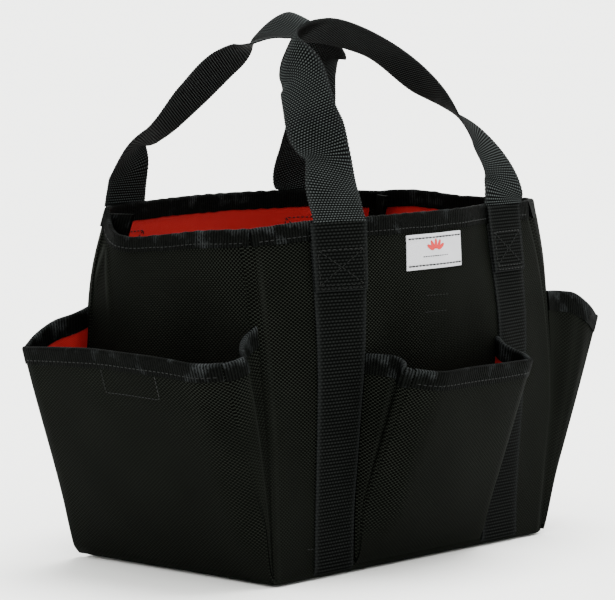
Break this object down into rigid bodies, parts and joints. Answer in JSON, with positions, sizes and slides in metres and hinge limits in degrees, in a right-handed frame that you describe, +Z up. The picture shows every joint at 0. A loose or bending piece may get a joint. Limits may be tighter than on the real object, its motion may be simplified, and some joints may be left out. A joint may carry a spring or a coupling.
{
  "type": "garden tool bag",
  "caption": "Open-topped fabric tool bag with a stiff base, a red lining, flared outside pockets and webbing carrying handles that swing.",
  "frame": {"origin": "on the floor, under the middle of the bag's box", "axes": "+Z up, +X along the bag's long side to the right seen from the front, front panel facing -Y"},
  "size_m": [0.405, 0.29, 0.3697],
  "materials": {
    "nylon": "black coated ballistic nylon, basket weave",
    "lining": "red coated nylon",
    "tape": "black grosgrain binding tape",
    "webbing": "black ribbed nylon webbing",
    "label": "white woven label",
    "board": "stiffening board",
    "hook_patch": "black hook tape",
    "loop_patch": "black loop tape"
  },
  "bodies": {
    "bag": {"back_lining": "lining", "back_panel": "nylon", "back_pocket_gusset_a": "nylon", "back_pocket_gusset_b": "nylon", "back_rim_binding": "tape", "base_board": "board", "bottom_lining": "lining", "bottom_panel": "nylon", "corner_seam_back_left": "tape", "corner_seam_back_right": "tape", "corner_seam_front_left": "tape", "corner_seam_front_right": "tape", "front_lining": "lining", "front_panel": "nylon", "front_pocket_gusset_a": "nylon", "front_pocket_gusset_b": "nylon", "front_rim_binding": "tape", "handle_anchor_back_left": "webbing", "handle_anchor_back_right": "webbing", "handle_anchor_front_left": "webbing", "handle_anchor_front_right": "webbing", "inner_tab": "nylon", "label": "label", "left_end_lining": "lining", "left_end_panel": "nylon", "left_pocket_gusset_a": "nylon", "left_pocket_gusset_b": "nylon", "left_rim_binding": "tape", "left_strap": "webbing", "left_wall_loop_patch": "loop_patch", "right_end_lining": "lining", "right_end_panel": "nylon", "right_pocket_gusset_a": "nylon", "right_pocket_gusset_b": "nylon", "right_rim_binding": "tape", "right_strap": "webbing", "right_wall_loop_patch": "loop_patch"},
    "front_handle": {"front_handle": "webbing"},
    "back_handle": {"back_handle": "webbing"},
    "front_pocket": {"front_pocket_binding": "tape", "front_pocket_face": "nylon", "front_pocket_lining": "lining"},
    "back_pocket": {"back_pocket_binding": "tape", "back_pocket_face": "nylon", "back_pocket_lining": "lining"},
    "left_pocket": {"left_pocket_binding": "tape", "left_pocket_face": "nylon", "left_pocket_hook_patch": "hook_patch", "left_pocket_lining": "lining"},
    "right_pocket": {"right_pocket_binding": "tape", "right_pocket_face": "nylon", "right_pocket_hook_patch": "hook_patch", "right_pocket_lining": "lining"}
  },
  "joints": [
    {"name": "front_handle_swing", "type": "hinge", "parent": "bag", "child": "front_handle", "pos_m": [0, -0.0914, 0.2412], "axis": [1, 0, 0], "range_deg": [0, 165]},
    {"name": "back_handle_swing", "type": "hinge", "parent": "bag", "child": "back_handle", "pos_m": [0, 0.0914, 0.2412], "axis": [-1, 0, 0], "range_deg": [0, 165]},
    {"name": "front_pocket_close", "type": "hinge", "parent": "bag", "child": "front_pocket", "pos_m": [0, -0.0905, 0.007], "axis": [-1, 0, 0], "range_deg": [0, 14], "deforming": ["front_pocket_gusset_a", "front_pocket_gusset_b"]},
    {"name": "back_pocket_close", "type": "hinge", "parent": "bag", "child": "back_pocket", "pos_m": [0, 0.0905, 0.007], "axis": [1, 0, 0], "range_deg": [0, 14], "deforming": ["back_pocket_gusset_a", "back_pocket_gusset_b"]},
    {"name": "left_pocket_close", "type": "hinge", "parent": "bag", "child": "left_pocket", "pos_m": [-0.1415, 0, 0.0036], "axis": [0, 1, 0], "range_deg": [0, 15.5], "deforming": ["left_pocket_gusset_a", "left_pocket_gusset_b"]},
    {"name": "right_pocket_close", "type": "hinge", "parent": "bag", "child": "right_pocket", "pos_m": [0.1415, 0, 0.0036], "axis": [0, -1, 0], "range_deg": [0, 15.5], "deforming": ["right_pocket_gusset_a", "right_pocket_gusset_b"]}
  ]
}
